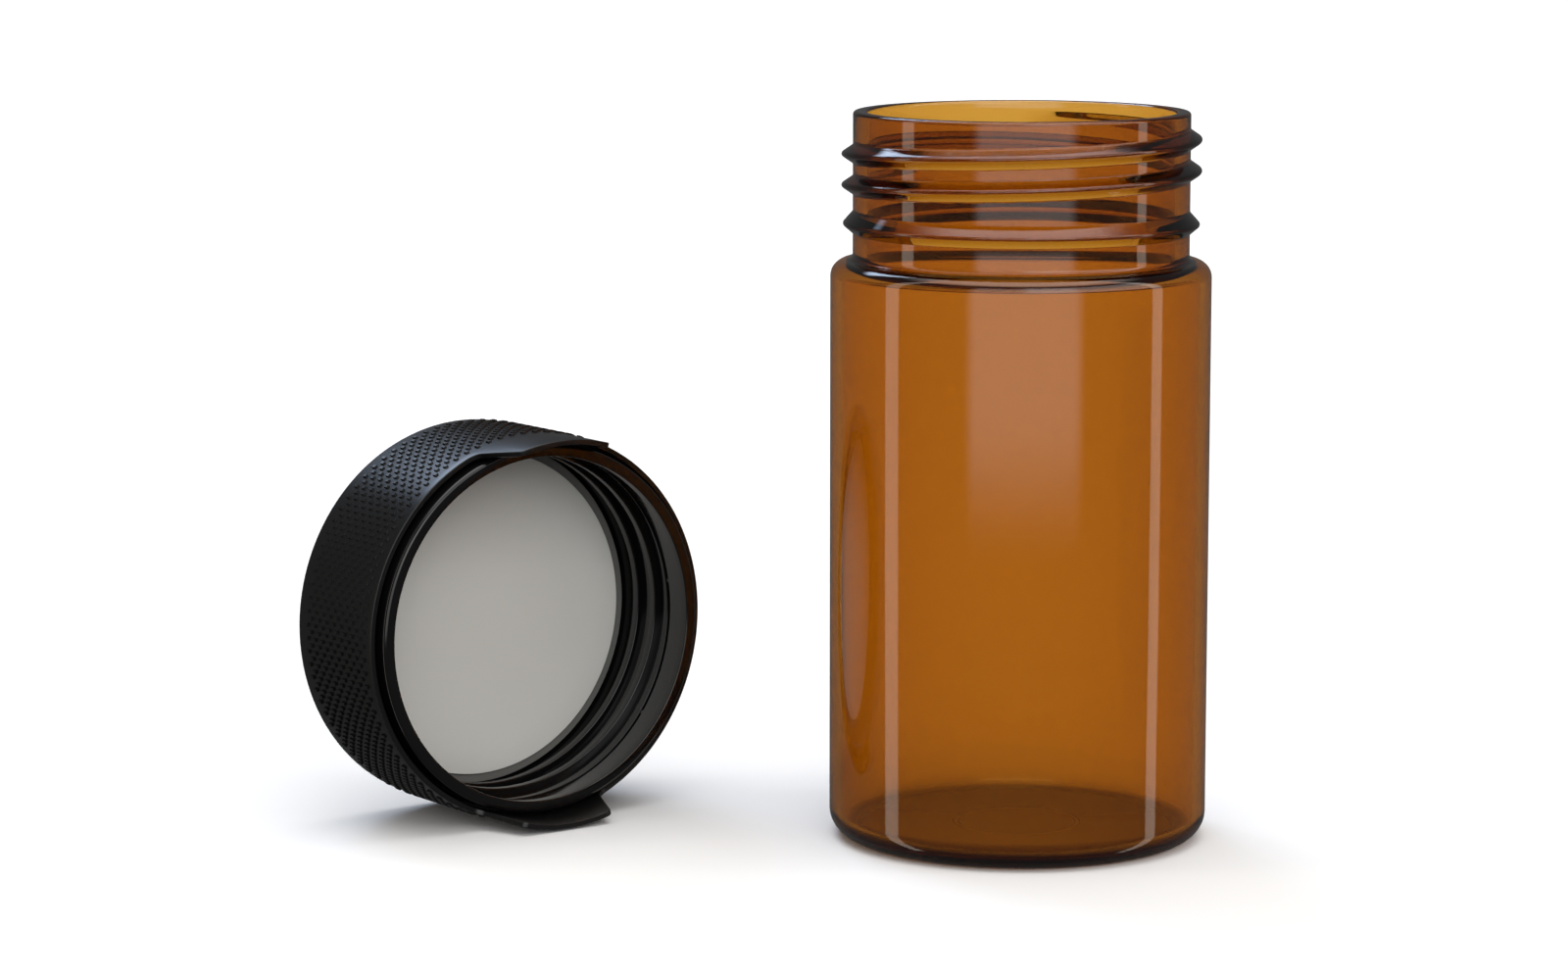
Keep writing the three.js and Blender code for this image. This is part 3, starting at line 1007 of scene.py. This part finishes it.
@dataclass
class InnerCap:
    """The threaded cup inside the shell, with its drive lugs, spring fingers and sealing discs."""

    axes: ClosureAxes
    finish: MouldedFinish = INNER_POLYPROPYLENE
    wall: float = 1.0
    flange_depth: float = 0.4
    flange_low: float = 0.9
    flange_high: float = 1.9
    top: float = 1.0
    cup_height: float = 13.15
    top_round: float = 0.5
    flange_round: float = 0.1
    edge_round: float = 0.12
    ceiling_fillet: float = 0.4
    segments: int = 240
    thread_depth: float = 1.0
    thread_half_base: float = 1.1
    thread_crest: float = 0.1
    thread_round: float = 0.18
    thread_root: float = 0.3
    thread_root_foot: float = 1.3
    thread_from_edge: float = 1.7
    thread_from_seal: float = 1.4
    thread_angle: float = -95.0
    thread_sections: int = 180
    finger_count: int = 6
    finger_radius: float = 13.0
    finger_width: float = 2.2
    finger_length: float = 6.0
    finger_thickness: float = 0.5
    finger_rise: float = 0.9
    finger_sunk: float = 0.7
    disc_rings: int = 6
    disc_segments: int = 200
    liner_round: float = 0.15
    seal_round: float = 0.08

    def build(self) -> list[bpy.types.Object]:
        """Build the cup, its thread and the pieces inside and on top of it.

        Returns:
            All of them, the cup first.
        """
        material = self.finish.make()
        flange, edge, _ = self.axes.span("inner_cap")
        outside = flange - self.flange_depth
        bore = outside - self.wall
        top = edge + self.cup_height
        cup = skinned("inner_cup", self.axes.laid(turned(rounded([
            (0, top, 0),
            (outside, top, self.top_round),
            (outside, edge + self.flange_high + self.flange_depth, 0),
            (flange, edge + self.flange_high, self.flange_round),
            (flange, edge + self.flange_low, self.flange_round),
            (outside, edge + self.flange_low - self.flange_depth / 2, 0),
            (outside, edge, self.edge_round),
            (bore, edge, self.edge_round),
            (bore, top - self.top, self.ceiling_fillet),
            (0, top - self.top, 0),
        ], steps=4), self.segments)))
        _, seal_low, _ = self.axes.span("foil_seal")
        start = edge + self.thread_from_edge
        helix = Helix(self.thread_angle, start, (seal_low - self.thread_from_seal - start) / Helix.pitch)
        section = rounded([
            (-self.thread_half_base, -self.thread_root, 0),
            (self.thread_root_foot, -self.thread_root, 0),
            (self.thread_half_base, 0, 0),
            (self.thread_crest, self.thread_depth, self.thread_round),
            (-self.thread_half_base, self.thread_depth, self.thread_round),
            (-self.thread_half_base, 0, 0),
        ], steps=4, closed=True)
        ridge = skinned("inner_cap_thread", self.axes.laid(
            ridge_rings(helix, section, bore, self.thread_sections)))
        lugs = DriveLugs().build("inner_cap_lugs", self.axes, top, Side.ABOVE, material)
        pieces = [cup, ridge, lugs, self.fingers(top, material)]
        for piece in pieces:
            if not piece.data.materials:
                piece.data.materials.append(material)
            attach(piece, "cap")
        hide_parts("inner_cap")
        return pieces + [
            self.disc("liner", "liner_backing", FOAM_POLYETHYLENE, "liner_foam", self.liner_round),
            self.disc("seal", "foil_seal", SEAL_FILM, "seal_film", self.seal_round),
        ]

    def fingers(self, top: float, material: bpy.types.Material) -> bpy.types.Object:
        """Build the sprung fingers that lift the shell off the cup.

        Args:
            top: Height of the cup's top.
            material: Their finish.

        Returns:
            The fingers' object.
        """
        tilt = math.asin(self.finger_rise / self.finger_length)

        def finger_block(tree: bpy.types.NodeTree, read: Sockets) -> bpy.types.NodeSocket:
            """Draw one finger, tilted up off the top."""
            bar = bar_block(tree, read)
            return add_node(tree, "GeometryNodeTransform", links={
                "Geometry": bar, "Rotation": (tilt, 0, 0),
            }).outputs[0]

        tree = round_pattern("spring_fingers", finger_block, BAR_INPUTS, material)
        middle = top + self.finger_rise - self.finger_sunk
        return grown("inner_cap_fingers", tree, self.axes.inputs() | {
            "Rows": self.finger_count, "Per Row": 1,
            "Radius": self.finger_radius * MM, "Height": middle * MM,
            "Bar Depth": self.finger_width * MM, "Bar Width": self.finger_length * MM,
            "Bar Rise": self.finger_thickness * MM,
        })

    def disc(
        self, name: str, node: str, finish: MouldedFinish, slot: str, edge: float
    ) -> bpy.types.Object:
        """Build a round disc in place of a frame node.

        Args:
            name: The new object's name.
            node: The frame node that it replaces.
            finish: Its finish.
            slot: Not used.
            edge: Radius of its edges.

        Returns:
            The disc's object.
        """
        radius, low, high = self.axes.span(node)
        face = [(radius * k / self.disc_rings, low, 0) for k in range(self.disc_rings)]
        rim = [(radius, low, edge), (radius, high, edge), (0, high, 0)]
        disc = skinned(name, self.axes.laid(
            turned(rounded(face + rim, steps=4), self.disc_segments)))
        disc.data.materials.append(finish.make())
        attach(disc, "cap")
        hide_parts(node)
        return disc


@dataclass
class TamperBand:
    """The ring that breaks away at first opening, and the bridges that hold it until then."""

    axes: ClosureAxes
    finish: MouldedFinish = INNER_POLYPROPYLENE
    height: float = 5.2
    wall: float = 1.0
    lip_depth: float = 0.65
    lip_height: float = 1.7
    lip_round: float = 0.3
    lip_tip_round: float = 0.2
    outer_round: float = 0.5
    edge_round: float = 0.12
    segments: int = 240
    bridge_count: int = 8
    bridge_angle: float = -8.5
    bridge_width: float = 0.5
    bridge_depth: float = 0.7
    bridge_sunk: float = 0.3

    def build(self) -> list[bpy.types.Object]:
        """Build the band and its bridges.

        Returns:
            The two objects.
        """
        material = self.finish.make()
        outside, foot, tips = self.axes.span("tamper_band")
        top = foot + self.height
        bore = outside - self.wall
        lip = bore - self.lip_depth
        band = skinned("band", self.axes.laid(turned(rounded([
            (lip, foot, self.lip_tip_round),
            (outside, foot, self.outer_round),
            (outside, top, self.edge_round),
            (bore, top, self.edge_round),
            (bore, foot + self.lip_height + self.lip_depth, self.lip_round),
            (lip, foot + self.lip_height, self.lip_round),
        ], steps=5, closed=True), self.segments)), closed=True)
        band.data.materials.append(material)
        tree = round_pattern("band_bridges", bar_block, BAR_INPUTS, material)
        root = top - self.bridge_sunk
        bridges = grown("band_bridges", tree, self.axes.inputs() | {
            "Rows": self.bridge_count, "Per Row": 1, "Start Angle": math.radians(self.bridge_angle),
            "Radius": (bore + self.wall / 2) * MM, "Height": (tips + root) / 2 * MM,
            "Bar Depth": self.bridge_depth * MM, "Bar Width": self.bridge_width * MM,
            "Bar Rise": (tips - root) * MM,
        })
        for piece in (band, bridges):
            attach(piece, "band")
        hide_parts("tamper_band")
        return [band, bridges]


# ---------------------------------------------------------------- the studio


@dataclass(frozen=True)
class Panel:
    """A soft light far off, in degrees: where it stands and how far it spreads.

    A bearing of nought is straight behind the camera, and grows to the camera's right.
    """

    bearing: float
    half_width: float
    low: float
    high: float
    colour: str
    strength: float
    soft: float = 1.5
    soft_height: float = 4.0


@dataclass
class Studio:
    """A plain pale floor, a camera and soft far-off lights."""

    camera_azimuth: float = -36.16
    camera_elevation: float = 8.49
    focal_length: float = 108.9
    camera_distance: float = 0.66
    aim: tuple[float, float, float] = (-0.02129, 0.02562, 0.04673)
    sensor_width: float = 36.0
    clip: tuple[float, float] = (0.01, 100.0)
    floor_radius: float = 12.0
    floor_middle: float = 0.5
    floor_gap: float = 0.00005
    floor_segments: int = 64
    panels: tuple[Panel, ...] = (
        Panel(0.0, 200.0, -200, 200, "#FFFFFF", 0.1),
        Panel(0.0, 200.0, 58, 200, "#FFFFFF", 2.35, soft_height=22.0),
        Panel(-86.0, 5.2, -50, 60, "#FFF4E4", 1.75),
        Panel(87.0, 4.2, -50, 60, "#FFF4E4", 1.75),
        Panel(0.0, 33.0, -6.6, 40, "#FFFFFF", 1.3, soft=9.0, soft_height=5.6),
        Panel(-152.0, 17.0, 34, 54, "#C6D8F3", 6.9, soft=8.0, soft_height=6.0),
        Panel(45.0, 45.0, 12, 45, "#FFFFFF", 1.55, soft=10.0, soft_height=8.0),
    )

    def camera(self) -> None:
        """Create the camera and make it the scene's own."""
        data = bpy.data.cameras.new("camera")
        data.sensor_width = self.sensor_width
        data.lens = self.focal_length
        data.clip_start, data.clip_end = self.clip
        camera = bpy.data.objects.new("camera", data)
        azimuth = math.radians(self.camera_azimuth)
        elevation = math.radians(self.camera_elevation)
        back = Vector((
            math.sin(azimuth) * math.cos(elevation),
            -math.cos(azimuth) * math.cos(elevation),
            math.sin(elevation),
        ))
        camera.location = Vector(self.aim) + back * self.camera_distance
        camera.rotation_euler = (-back).to_track_quat("-Z", "Y").to_euler()
        bpy.context.scene.collection.objects.link(camera)
        bpy.context.scene.camera = camera

    def floor(self) -> None:
        """Lay the floor, which isn't seen in the plastic's gloss and throws no light up."""
        count = self.floor_segments
        rings = turned([(0, 0), (self.floor_middle, 0), (self.floor_radius, 0)], count)
        verts = np.concatenate(rings) + np.array([0, 0, CAD_LOW[2] - self.floor_gap])
        spokes = [(1 + i, 1 + (i + 1) % count) for i in range(count)]
        faces = [(0, a, b) for a, b in spokes] + [(a, count + a, count + b, b) for a, b in spokes]
        mesh = bpy.data.meshes.new("floor")
        mesh.from_pydata(verts.tolist(), [], faces)
        floor = bpy.data.objects.new("floor", mesh)
        bpy.context.scene.collection.objects.link(floor)
        mesh.materials.append(FLOOR_FINISH.make())
        floor.visible_glossy = False
        floor.visible_diffuse = False

    def lights(self) -> None:
        """Light the scene from soft far-off panels, in a room that looks plain white itself."""
        world = bpy.data.worlds.new("studio")
        bpy.context.scene.world = world
        world.use_nodes = True
        tree = world.node_tree
        tree.nodes.clear()
        place = add_node(tree, "ShaderNodeTexCoord")
        spun = add_node(tree, "ShaderNodeVectorRotate", {"rotation_type": "Z_AXIS"}, {
            "Vector": place.outputs["Generated"], "Angle": -math.radians(self.camera_azimuth),
        })
        parts = add_node(tree, "ShaderNodeSeparateXYZ", links={0: spun.outputs[0]})
        behind = add_node(tree, "ShaderNodeMath", {"operation": "MULTIPLY"}, {0: parts.outputs[1], 1: -1.0})
        around = add_node(tree, "ShaderNodeMath", {"operation": "ARCTAN2"}, {
            0: parts.outputs[0], 1: behind.outputs[0],
        })
        above = add_node(tree, "ShaderNodeMath", {"operation": "ARCSINE"}, {0: parts.outputs[2]})
        bearing, rise = (
            add_node(tree, "ShaderNodeMath", {"operation": "DEGREES"}, {0: angle.outputs[0]}).outputs[0]
            for angle in (around, above)
        )
        total = (0.0, 0.0, 0.0)
        for panel in self.panels:
            total = self.shine(tree, panel, bearing, rise, total)
        sight = add_node(tree, "ShaderNodeLightPath")
        seen = add_node(tree, "ShaderNodeMath", {"operation": "MAXIMUM"}, {
            0: sight.outputs["Is Camera Ray"], 1: sight.outputs["Is Transmission Ray"],
        })
        shown = add_node(tree, "ShaderNodeMix", {"data_type": "RGBA"}, {
            0: seen.outputs[0], 6: total, 7: linear("#FFFFFF"),
        })
        light = add_node(tree, "ShaderNodeBackground", links={"Color": shown.outputs[2]})
        out = add_node(tree, "ShaderNodeOutputWorld")
        tree.links.new(light.outputs[0], out.inputs["Surface"])

    def shine(
        self, tree: bpy.types.NodeTree, panel: Panel, bearing: bpy.types.NodeSocket,
        rise: bpy.types.NodeSocket, total: bpy.types.NodeSocket | tuple[float, float, float],
    ) -> bpy.types.NodeSocket:
        """Add one soft panel to the light.

        Args:
            tree: The world's node tree.
            panel: The panel.
            bearing: Socket with the direction's bearing, in degrees.
            rise: Socket with its height above the horizon, in degrees.
            total: The light so far.

        Returns:
            The socket of the light with the panel's added.
        """
        half, edge = panel.soft / 2, panel.soft_height / 2
        away = add_node(tree, "ShaderNodeMath", {"operation": "SUBTRACT"}, {0: bearing, 1: panel.bearing})
        off = add_node(tree, "ShaderNodeMath", {"operation": "PINGPONG"}, {0: away.outputs[0], 1: 180.0})
        mask = panel.strength
        for value, start, full in (
            (off.outputs[0], panel.half_width + half, panel.half_width - half),
            (rise, panel.low - edge, panel.low + edge),
            (rise, panel.high + edge, panel.high - edge),
        ):
            mask = add_node(tree, "ShaderNodeMapRange", {"interpolation_type": "SMOOTHSTEP"}, {
                "Value": value, "From Min": start, "From Max": full, "To Max": mask,
            }).outputs["Result"]
        return add_node(tree, "ShaderNodeVectorMath", {"operation": "MULTIPLY_ADD"}, {
            0: linear(panel.colour)[:3], 1: mask, 2: total,
        }).outputs[0]


def main() -> None:
    """Build the studio, the vial and the closure."""
    logging.basicConfig(level=logging.INFO, format="%(name)s: %(message)s")
    bpy.context.scene.view_settings.view_transform = "Standard"
    studio = Studio()
    studio.camera()
    studio.floor()
    studio.lights()
    axes = ClosureAxes.from_frame(shell_height=19.9)
    for part in (Vial(), OuterShell(axes), InnerCap(axes), TamperBand(axes)):
        for piece in part.build():
            log.info("%s: %d faces", piece.name, len(piece.data.polygons))


if __name__ == "__main__":
    main()
